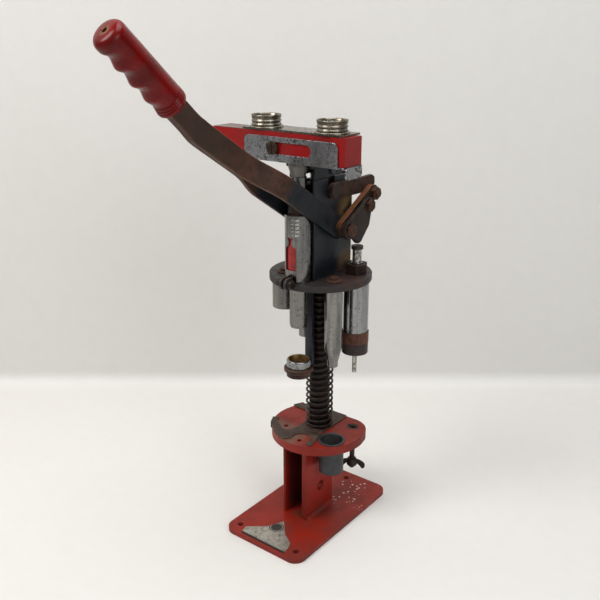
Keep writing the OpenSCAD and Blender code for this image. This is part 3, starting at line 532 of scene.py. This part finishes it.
def refine(node, material, width, segments=2, wide=None):
    """The CAD node with every sharp edge rounded. wide(edge) may give an edge its own width."""
    bm = welded(node)
    layer = bm.edges.layers.float.new("bevel_weight_edge")
    groups = {}
    for edge in bm.edges:
        if len(edge.link_faces) != 2 or edge.calc_face_angle(0) < math.radians(SHARP_EDGE):
            continue
        size = wide(edge) if wide else None
        groups.setdefault(size or width, []).append(edge)
    most = max(groups, default=width)
    for size, edges in groups.items():
        for edge in edges:
            edge[layer] = size / most
    obj = add_piece(node + "_look", bm, material, body_of_node(node))
    bevel = obj.modifiers.new("round", "BEVEL")
    bevel.limit_method = "WEIGHT"
    bevel.width = most
    bevel.segments = segments
    bevel.harden_normals = True
    bevel.use_clamp_overlap = True
    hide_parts(node)
    return obj


def lathe(name, profile, at, material, body, steps=96, shape=None, smooth=SMOOTH_EDGE):
    """Turns a closed profile of (radius, z) about a vertical axis. shape(angle, r, z) may move a point."""
    bm = bmesh.new()
    rings = []
    for i in range(steps):
        turn = 2 * math.pi * i / steps
        ring = []
        for r, z in profile:
            if shape:
                r, z = shape(turn, r, z)
            ring.append(bm.verts.new((at[0] + r * math.cos(turn), at[1] + r * math.sin(turn), at[2] + z)))
        rings.append(ring)
    count = len(profile)
    for i in range(steps):
        a, b = rings[i], rings[(i + 1) % steps]
        for k in range(count):
            n = (k + 1) % count
            bm.faces.new((a[k], b[k], b[n], a[n]))
    bmesh.ops.remove_doubles(bm, verts=bm.verts, dist=1e-7)
    return add_piece(name, bm, material, body, smooth)


def sweep(bm, stations):
    """Joins loops of points, one loop per station, into a tube with flat ends."""
    loops = [[bm.verts.new(p) for p in station] for station in stations]
    count = len(loops[0])
    for a, b in zip(loops, loops[1:]):
        for k in range(count):
            n = (k + 1) % count
            bm.faces.new((a[k], a[n], b[n], b[k]))
    bm.faces.new(loops[0])
    bm.faces.new(list(reversed(loops[-1])))


def rounded_rect(half_w, half_h, r, steps=3):
    """Points of a rectangle with round corners, centred on the origin."""
    points = []
    for cx, cy, start in ((1, 1, 0), (-1, 1, 90), (-1, -1, 180), (1, -1, 270)):
        for i in range(steps + 1):
            a = math.radians(start + 90 * i / steps)
            points.append((cx * (half_w - r) + r * math.cos(a), cy * (half_h - r) + r * math.sin(a)))
    return points


def coil(name, node, axis, r, wire, turns, flat_turns, material, body):
    """A compression spring as tall as its CAD node, with closed ends and a round wire."""
    bm = bmesh.new()
    per_turn, sides = 28, 10
    n = int(turns * per_turn)
    stations = []
    z_low, z_high = low(node) + wire, high(node) - wire
    lead = flat_turns / turns
    for i in range(n + 1):
        t = i / n
        climb = min(max((t - lead) / (1 - 2 * lead), 0), 1)
        ends = wire * 1.9 * min(t / lead, 1) + wire * 1.9 * max((t - 1 + lead) / lead, 0)
        z = z_low + ends + climb * (z_high - z_low - 3.8 * wire)
        turn = 2 * math.pi * turns * t
        radial = Vector((math.cos(turn), math.sin(turn), 0))
        mid = Vector((axis[0], axis[1], z)) + radial * r
        loop = []
        for k in range(sides):
            a = 2 * math.pi * k / sides
            loop.append(mid + (radial * math.cos(a) + Vector((0, 0, 1)) * math.sin(a)) * wire)
        stations.append(loop)
    sweep(bm, stations)
    obj = add_piece(name, bm, material, body, 60)
    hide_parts(node)
    return obj


# ---- pieces with their own meshes -------------------------------------------------------


def springs():
    """The return spring round the column and the wad ram's spring, each with a mesh of its own."""
    main = coil("return_spring", "main_spring", (0, 0), 13.6 * MM, 1.15 * MM, 25.5, 1.0, SPRING, "stand")
    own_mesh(main)
    inner = coil("ram_spring", "wad_spring", station_wad, 10.5 * MM, 0.95 * MM, 3.6, 0.7, POT, "head")
    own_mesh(inner)


def grip():
    """Moulded hand grip: four finger hollows below, fine ribs on its back, rings at its lower end."""
    side = Vector((1, 0, 0))
    up = handle_dir.cross(side)
    round_end = 6 * MM
    crest, pitch = 19.3 * MM, 17.2 * MM
    around, along = 64, 170
    stations = []
    for i in range(along + 1):
        s = GRIP_LENGTH * i / along
        end = max(0.0, s - (GRIP_LENGTH - round_end)) / round_end
        shrink = round_end * (1 - math.sqrt(max(0.0, 1 - end * end)))
        lip = max(0.0, 1.2 * MM - s) * 0.8
        loop = []
        for k in range(around):
            a = 2 * math.pi * k / around
            under = max(0.0, -math.cos(a))
            back = max(0.0, math.cos(a))
            scallop = 0.0
            if crest - pitch < s < crest + 3 * pitch:
                scallop = 0.5 - 0.5 * math.cos(2 * math.pi * (s - crest) / pitch)
                scallop *= 1 if s > crest else 0.5
            hollow = 3.4 * MM * scallop ** 0.8 * under ** 1.6
            ribs = 0.0
            if 8 * MM < s < 60 * MM:
                ribs = 0.22 * MM * math.sin(2 * math.pi * s / (2.1 * MM)) * back ** 3
            rings = 0.0
            if 3 * MM < s < 10 * MM:
                rings = 0.3 * MM * math.sin(2 * math.pi * s / (2.4 * MM))
            off = hollow - ribs - rings + shrink + lip
            p = arm_bend + handle_dir * (GRIP_START + s)
            p = p + side * (12.8 * MM - off) * math.sin(a) + up * (13.1 * MM - off) * math.cos(a)
            loop.append(p)
        stations.append(loop)
    tip = arm_bend + handle_dir * (GRIP_START + GRIP_LENGTH)
    for radius, beyond in ((4.6, 0.15), (2.6, 0.2), (2.2, 0.0), (2.0, -2.0)):
        mid = tip + handle_dir * beyond * MM
        stations.append([mid + (side * math.sin(a) + up * math.cos(a)) * radius * MM
                         for a in (2 * math.pi * k / around for k in range(around))])
    bm = bmesh.new()
    sweep(bm, stations)
    obj = add_piece("hand_grip", bm, GRIP, "lever", 40)
    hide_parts("lever_grip")


def strap(side):
    """One strap of the fork: a flat bar with round edges, bent once on edge and twice on the flat."""
    name = "lever_strap_right" if side > 0 else "lever_strap_left"
    outer = high("lever_strap_right", 0)
    t = 4 * MM
    x_fork = outer - t / 2
    x_meet = 2.1 * MM
    half_w = 10.5 * MM
    fork_end, meet = 92 * MM, 146 * MM
    tail = 100 * MM
    stations = []
    places = [-half_w * math.cos(math.pi / 2 * i / 12) for i in range(13)]
    places += [i * 4 * MM for i in range(1, int((ARM_L + tail) / (4 * MM)) + 1)]
    for d in places:
        blend = min(max((d - fork_end) / (meet - fork_end), 0), 1)
        ease = blend * blend * (3 - 2 * blend)
        slope = 6 * blend * (1 - blend) / (meet - fork_end) * (x_meet - x_fork)
        x = x_fork + (x_meet - x_fork) * ease
        bend_half = 7 * MM
        over = min(max((d - (ARM_L - bend_half)) / (2 * bend_half), 0), 1)
        angle = ARM_SLOPE + (HANDLE_SLOPE - ARM_SLOPE) * over
        direction = Vector((0, -math.cos(angle), math.sin(angle)))
        if d <= ARM_L - bend_half:
            mid = pivot_c + arm_dir * d
        else:
            steps = 12
            mid = pivot_c + arm_dir * (ARM_L - bend_half)
            rest = d - (ARM_L - bend_half)
            for i in range(steps):
                part = min(max((rest * (i + 0.5) / steps) / (2 * bend_half), 0), 1)
                a = ARM_SLOPE + (HANDLE_SLOPE - ARM_SLOPE) * part
                mid = mid + Vector((0, -math.cos(a), math.sin(a))) * (rest / steps)
        w = half_w
        if d < 0:
            w = math.sqrt(max(half_w ** 2 - d ** 2, (0.4 * MM) ** 2))
        if d > ARM_L:
            w = half_w - 1 * MM * min((d - ARM_L) / (10 * MM), 1)
        if d > ARM_L + GRIP_START + 3 * MM:
            w = 7 * MM
        across = Vector((0, direction.z, -direction.y))
        normal = (Vector((1, 0, 0)) - direction * slope).normalized()
        centre_at = Vector((x * side, mid.y, mid.z))
        normal.x *= side
        loop = []
        for a, b in rounded_rect(w, t / 2, min(0.7 * MM, w * 0.9)):
            loop.append(centre_at + across * a + normal * b)
        stations.append(loop)
    bm = bmesh.new()
    sweep(bm, stations)
    obj = add_piece(name + "_look", bm, LEVER, "lever", 50)
    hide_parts(name)


def guide_ring():
    """Knurled ring with a plain collar below it, and a brassy mouth."""
    at = (station_wad.x, station_wad.y, low("guide_ring"))
    inner = 9.6 * MM
    outer = 12.2 * MM
    tall = high("guide_ring") - low("guide_ring")
    knurl_low, knurl_high = 1.5 * MM, 5.5 * MM
    rows = 12
    profile = [(inner, 0), (outer - 0.3 * MM, 0), (outer, 0.5 * MM), (outer, knurl_low - 0.2 * MM)]
    for i in range(rows + 1):
        profile.append((outer - 0.1 * MM, knurl_low + (knurl_high - knurl_low) * i / rows))
    profile += [(outer, knurl_high + 0.3 * MM), (outer, tall - 0.7 * MM), (outer - 0.6 * MM, tall),
                (inner + 1 * MM, tall), (inner, tall - 1.1 * MM)]

    def knurl(turn, r, z):
        if knurl_low - 1e-6 <= z <= knurl_high + 1e-6 and r > inner + 1 * MM:
            r += 0.16 * MM * math.sin(60 * turn + z * 3000) * math.sin(60 * turn - z * 3000)
        return r, z

    ring = lathe("guide_ring_look", profile, at, CHROME, "wad_guide", 480, knurl, 50)
    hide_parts("guide_ring")
    mouth = [(inner - 0.05 * MM, 0.5 * MM), (inner, 0.5 * MM), (inner, tall - 1.1 * MM),
             (inner + 1 * MM, tall), (inner + 1 * MM, tall + 0.1 * MM), (inner + 0.5 * MM, tall + 0.1 * MM),
             (inner - 0.05 * MM, tall - 1 * MM)]
    lathe("guide_mouth", mouth, at, BRASS, "wad_guide", 96)


def bottle_collars():
    """Thin pressed sockets with rolled beads, a turned-out rim and a seat flange."""
    base = low("bottle_collars")
    middle = centre("bottle_collars")
    lo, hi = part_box("bottle_collars")
    foot_r, neck_r, bore_r, rim_r = 16.3 * MM, 13.85 * MM, 12.42 * MM, 14.5 * MM
    reach = (hi.x - lo.x) / 2 - foot_r
    outer = [(foot_r - 0.1 * MM, 0), (foot_r, 0.7 * MM), (foot_r - 0.4 * MM, 1.3 * MM),
             (neck_r + 0.3 * MM, 1.5 * MM)]
    for i in range(33):
        z = 1.7 * MM + 7.6 * MM * i / 32
        outer.append((neck_r + 0.45 * MM * math.cos(2 * math.pi * (z / MM - 2.6) / 3.4), z))
    outer += [(neck_r - 0.1 * MM, 9.6 * MM), (rim_r - 0.5 * MM, 10.3 * MM), (rim_r - 0.1 * MM, 10.7 * MM),
              (rim_r, 11.2 * MM), (rim_r - 0.3 * MM, 11.55 * MM), (rim_r - 0.9 * MM, 11.4 * MM)]
    inner = [(max(r - 0.9 * MM, bore_r), z) for r, z in reversed(outer[4:-5])]
    inner = [(bore_r + 0.8 * MM, 10.6 * MM)] + inner + [(bore_r + 0.05 * MM, 0.9 * MM), (bore_r, 0)]
    for side, label in ((-1, "left"), (1, "right")):
        obj = lathe("bottle_collar_" + label, outer + inner, (side * reach, middle.y, base), CHROME_DIRTY,
                    "stand", 128, None, 60)
        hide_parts("bottle_collars")


def weld_bead():
    """The fillet weld along the foot of the pedestal's right flange."""
    lo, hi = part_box("pedestal")
    bm = bmesh.new()
    stations = []
    steps = 60
    for i in range(steps + 1):
        y = lo.y + 1 * MM + (hi.y - lo.y - 2 * MM) * i / steps
        lump = 0.35 * MM * noise.noise(Vector((y * 900, 3.1, 0.4)))
        size = 3.4 * MM + lump
        x = hi.x - 0.2 * MM
        z = high("base_plate") - 0.2 * MM
        stations.append([(x, y, z), (x + size, y, z), (x + size * 0.62, y, z + size * 0.36),
                         (x + size * 0.34, y, z + size * 0.66), (x, y, z + size)])
    sweep(bm, stations)
    add_piece("foot_weld", bm, RED, "stand", 60)


def scale_marks():
    """Plain raised marks, in two columns, on the wad tube above its window."""
    r = (high("wad_tube", 0) - low("wad_tube", 0)) / 2
    top = 336.0 * MM
    bm = bmesh.new()
    for column, (azimuth, half, thick) in enumerate(((-78, 1.5 * MM, 0.34 * MM), (-57, 1.9 * MM, 0.5 * MM))):
        for row in range(5):
            z = top - 3.6 * MM * row
            for line in ((0,) if column == 0 else (-0.55 * MM, 0.55 * MM)):
                stations = []
                for i in range(7):
                    u = -half + 2 * half * i / 6
                    a = math.radians(azimuth) + u / r
                    out = Vector((math.cos(a), math.sin(a), 0))
                    mid = Vector((station_wad.x, station_wad.y, z + line + u * 0.18)) + out * r
                    up = Vector((0, 0, thick * (1 if 0 < i < 6 else 0.6)))
                    stations.append([mid - out * 0.15 * MM - up, mid + out * 0.16 * MM - up * 0.5,
                                     mid + out * 0.16 * MM + up * 0.5, mid - out * 0.15 * MM + up])
                sweep(bm, stations)
    add_piece("scale_marks", bm, MARKS, "head", 60)


def wing_nut():
    """Forged wing nut: a turned hub and two drooping wings with thick round tips."""
    at = Vector((station_sizing.x, station_sizing.y, low("wing_nut")))
    hub = [(2.85 * MM, 3 * MM), (5.2 * MM, 3 * MM), (5.6 * MM, 3.5 * MM), (5.4 * MM, 9 * MM),
           (4.6 * MM, 11 * MM), (2.85 * MM, 11 * MM)]
    body = "adjusting_nut"
    obj = lathe("wing_nut_hub", hub, (at.x, at.y, at.z), RUST_DARK, body, 64)
    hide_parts("wing_nut")
    direction = Vector((math.cos(math.radians(28)), math.sin(math.radians(28)), 0))
    for side, label in ((1, "a"), (-1, "b")):
        bm = bmesh.new()
        stations = []
        for i in range(21):
            t = i / 20
            reach = (3.5 + 10.5 * t) * MM
            drop = (9.2 - 2.2 * t - 5.6 * t * t) * MM - 1.2 * MM
            tall = (2.2 + 2.2 * t) * MM * math.sqrt(max(0.02, 1 - max(0, (t - 0.72) / 0.28) ** 2))
            thick = (1.9 - 0.5 * t) * MM * math.sqrt(max(0.04, 1 - max(0, (t - 0.8) / 0.2) ** 2))
            mid = at + direction * side * reach + Vector((0, 0, drop))
            flat = Vector((-direction.y, direction.x, 0))
            tilt = (Vector((0, 0, 1)) + direction * side * 0.5 * t).normalized()
            loop = [mid + tilt * tall * math.cos(a) + flat * thick * math.sin(a)
                    for a in (2 * math.pi * k / 16 for k in range(16))]
            stations.append(loop)
        sweep(bm, stations)
        add_piece("wing_nut_wing_" + label, bm, RUST_DARK, body, 60)


# ---- everything else: CAD nodes with rounded edges ----------------------------------------


def vertical(edge):
    a, b = edge.verts
    return abs(a.co.x - b.co.x) < 1e-5 and abs(a.co.y - b.co.y) < 1e-5


def flange_front(edge):
    """The pedestal's front edges are worn round."""
    if vertical(edge) and edge.verts[0].co.y < low("pedestal", 1) + 1 * MM:
        return 1.9 * MM
    return None


def folded(edge):
    """Sheet metal turns a round corner where it is folded."""
    return 2.2 * MM if vertical(edge) and edge.verts[0].co.y > high("head_channel", 1) - 1 * MM else None


def table():
    """The table, with the two corners of its straight rear edge turned round."""
    obj = refine("station_table", RED, 1.3 * MM, 3)
    bm = bmesh.new()
    bm.from_mesh(obj.data)
    rear = high("station_table", 1)
    table_r = high("station_table", 0)
    corner_r = 25 * MM
    at_y = rear - corner_r
    at_x = math.sqrt((table_r - corner_r) ** 2 - at_y ** 2)
    for side in (-1, 1):
        for i in range(9):
            cut = at_x + 1.6 * MM * i
            bmesh.ops.bisect_plane(bm, geom=bm.verts[:] + bm.edges[:] + bm.faces[:], dist=1e-7,
                                   plane_co=(side * cut, 0, 0), plane_no=(1, 0, 0))
    for vert in bm.verts:
        out = Vector((abs(vert.co.x) - at_x, vert.co.y - at_y))
        if out.x > 0 and out.y > 0 and out.length > corner_r:
            place = out.normalized() * corner_r
            vert.co.x = math.copysign(at_x + place.x, vert.co.x)
            vert.co.y = at_y + place.y
    weight = bm.edges.layers.float["bevel_weight_edge"]
    bm.normal_update()
    for edge in bm.edges:
        if len(edge.link_faces) == 2:
            edge[weight] = 1.0 if edge.calc_face_angle(0) > math.radians(SHARP_EDGE) else 0.0
    bm.to_mesh(obj.data)
    bm.free()
    obj.data.shade_smooth()
    obj.data.set_sharp_from_angle(angle=math.radians(SMOOTH_EDGE))


def carried_over():
    """The pieces whose CAD shape is already right: plain lists node, material and edge width in mm."""
    refine("base_plate", RED, 1.1 * MM, 3)
    refine("pedestal", RED, 0.6 * MM, 3, wide=flange_front)
    refine("head_channel", SHEET, 0.5 * MM, 2, wide=folded)
    plain = (("label_plate", FOIL, 0.1), ("locating_plate", TABLE_SHEET, 0.35), ("cup_tube", GUN, 0.35),
             ("seat_bush", RUST_DARK, 0.4), ("column", COLUMN, 0.6),
             ("top_bracket", SHEET, 0.5), ("bracket_screws", GUN, 0.5), ("charge_cradle", CHROME_PITTED, 0.7),
             ("charge_bar", BAR, 0.7), ("charge_bushings", BRASS, 0.2), ("bar_stop_screw", BRONZE, 0.3),
             ("bottle_plate", CHROME_DIRTY, 0.4), ("plate_rivets", CHROME_DIRTY, 0.5), ("funnel", POT, 0.4),
             ("drop_tube", CHROME, 0.2), ("die_plate", PLATE, 0.6), ("guide_bush", GUN, 0.4),
             ("sizing_die", CHROME, 0.4), ("sizing_collar", COLLAR_BANDS, 0.7), ("sizing_nut", NUT, 0.7),
             ("decap_rod", ROD, 0.8), ("starter_die", CHROME_DULL, 0.4), ("tapered_die", CHROME_TUBE, 0.5),
             ("final_die", CHROME_DULL, 0.4), ("die_screws", RUST, 0.5), ("wad_tube", CHROME_TUBE, 0.3),
             ("wad_tube_cap", RUST_DARK, 0.6), ("wad_sleeve", INDICATOR, 0.3), ("wad_ram", CHROME_DULL, 0.4),
             ("clamp_bolt", RUST_DARK, 0.5), ("clamp_nut", RUST_DARK, 0.4), ("guide_hanger", SHEET, 0.4),
             ("guide_collar", COLLAR_BROWN, 0.6), ("link_pin", RUST_DARK, 0.5), ("link_right", LINK, 0.6),
             ("link_left", LINK, 0.6), ("link_bushes", LINK, 0.2), ("crank_right", CRANK, 0.6),
             ("crank_left", CRANK, 0.6), ("knockout_cam", RUST_DARK, 0.5), ("cam_spacers", RUST, 0.3),
             ("cam_bolt_set", RUST, 0.4), ("pivot_studs", RUST, 0.5), ("pivot_nuts", RUST, 0.6),
             ("crank_pins", RUST, 0.5))
    for node, material, width in plain:
        refine(node, material, width * MM)


# ---- stage ----------------------------------------------------------------------------------


def backdrop():
    """Pale floor running up into a pale wall, which can be seen through from behind."""
    f = Finish("pale_floor")
    grain = f.noise(60, 3, 0.5)
    f.finish(f.mix(grain, rgb(214, 212, 208), rgb(209, 207, 203)), 0.6, 0.0, grain, 0.1 * MM)
    behind = f.add("ShaderNodeNewGeometry").outputs["Backfacing"]
    clear = f.add("ShaderNodeBsdfTransparent").outputs[0]
    one_sided = f.add("ShaderNodeMixShader", {0: behind, 1: f.bsdf.outputs[0], 2: clear}).outputs[0]
    f.put(f.out.inputs[0], one_sided)
    front, wall, rear = -1.5, 0.31, 2.5
    half_w, wall_top = 2.5, 2.2
    bend_r = 0.02
    curve = [(front, 0), (wall - bend_r - 0.01, 0)]
    for i in range(9):
        a = math.pi / 2 * i / 8
        curve.append((wall - bend_r + bend_r * math.sin(a), bend_r - bend_r * math.cos(a)))
    curve.append((wall, wall_top))
    bm = bmesh.new()
    for profile in (curve, [(wall, 0), (rear, 0)]):
        rows = [[bm.verts.new(HEADING * d + RIGHTWARD * s + Vector((0, 0, z))) for s in (-half_w, half_w)]
                for d, z in profile]
        for a, b in zip(rows, rows[1:]):
            bm.faces.new((a[0], a[1], b[1], b[0]))
    bm.normal_update()
    if bm.faces[:][0].normal.z < 0:
        bmesh.ops.reverse_faces(bm, faces=bm.faces)
    mesh = bpy.data.meshes.new("backdrop")
    bm.to_mesh(mesh)
    bm.free()
    mesh.shade_smooth()
    mesh.materials.append(f.mat)
    obj = bpy.data.objects.new("backdrop", mesh)
    bpy.context.scene.collection.objects.link(obj)


def lights():
    """Three soft round lights, each turned to the middle of the press."""
    target = Vector((0, 0, 0.25))
    for name, place, size, power, tint in (
            ("key", (-0.55, -1.1, 1.5), 0.9, 20, (1.0, 0.98, 0.95)),
            ("top", (0.25, 0.0, 1.8), 1.2, 17, (1.0, 1.0, 1.0)),
            ("fill", (1.4, -0.5, 0.8), 0.8, 6, (0.94, 0.97, 1.0))):
        light = bpy.data.lights.new(name, "AREA")
        light.shape = "DISK"
        light.size = size
        light.energy = power
        light.color = tint
        obj = bpy.data.objects.new(name, light)
        obj.location = place
        obj.rotation_euler = (target - Vector(place)).to_track_quat("-Z", "Y").to_euler()
        bpy.context.scene.collection.objects.link(obj)


def room():
    """Light and dark bands for the metal to reflect; the camera itself sees one plain colour."""
    world = bpy.data.worlds.new("room")
    bpy.context.scene.world = world
    world.use_nodes = True
    tree = world.node_tree
    back = tree.nodes["Background"]
    coord = tree.nodes.new("ShaderNodeTexCoord")
    squeeze = tree.nodes.new("ShaderNodeMapping")
    squeeze.inputs["Scale"].default_value = (1, 1, 0.12)
    wave = tree.nodes.new("ShaderNodeTexNoise")
    wave.inputs["Scale"].default_value = 3.4
    wave.inputs["Detail"].default_value = 1.0
    ramp = tree.nodes.new("ShaderNodeValToRGB")
    ramp.color_ramp.elements[0].position = 0.44
    ramp.color_ramp.elements[0].color = rgb(38, 40, 44)
    ramp.color_ramp.elements[1].position = 0.54
    ramp.color_ramp.elements[1].color = rgb(216, 217, 219)
    tree.links.new(coord.outputs["Generated"], squeeze.inputs["Vector"])
    tree.links.new(squeeze.outputs[0], wave.inputs["Vector"])
    tree.links.new(wave.outputs[0], ramp.inputs[0])
    seen = tree.nodes.new("ShaderNodeLightPath")
    plain = tree.nodes.new("ShaderNodeMix")
    plain.data_type = "RGBA"
    plain.inputs[7].default_value = (1.25, 1.24, 1.2, 1.0)
    tree.links.new(seen.outputs["Is Camera Ray"], plain.inputs[0])
    tree.links.new(ramp.outputs[0], plain.inputs[6])
    tree.links.new(plain.outputs[2], back.inputs[0])
    back.inputs[1].default_value = 0.55


def camera():
    """The camera at the photo's angle."""
    cam = bpy.data.cameras.new("camera")
    cam.sensor_width = SENSOR_MM
    cam.lens = LENS_MM
    obj = bpy.data.objects.new("camera", cam)
    look = HEADING * math.cos(CAMERA_TILT) - Vector((0, 0, math.sin(CAMERA_TILT)))
    obj.location = CAMERA_PLACE
    obj.rotation_euler = look.to_track_quat("-Z", "Y").to_euler()
    bpy.context.scene.collection.objects.link(obj)
    bpy.context.scene.camera = obj


springs()
table()
grip()
strap(1)
strap(-1)
guide_ring()
bottle_collars()
weld_bead()
scale_marks()
wing_nut()
carried_over()
backdrop()
lights()
room()
camera()
bpy.context.scene.view_settings.view_transform = "Standard"
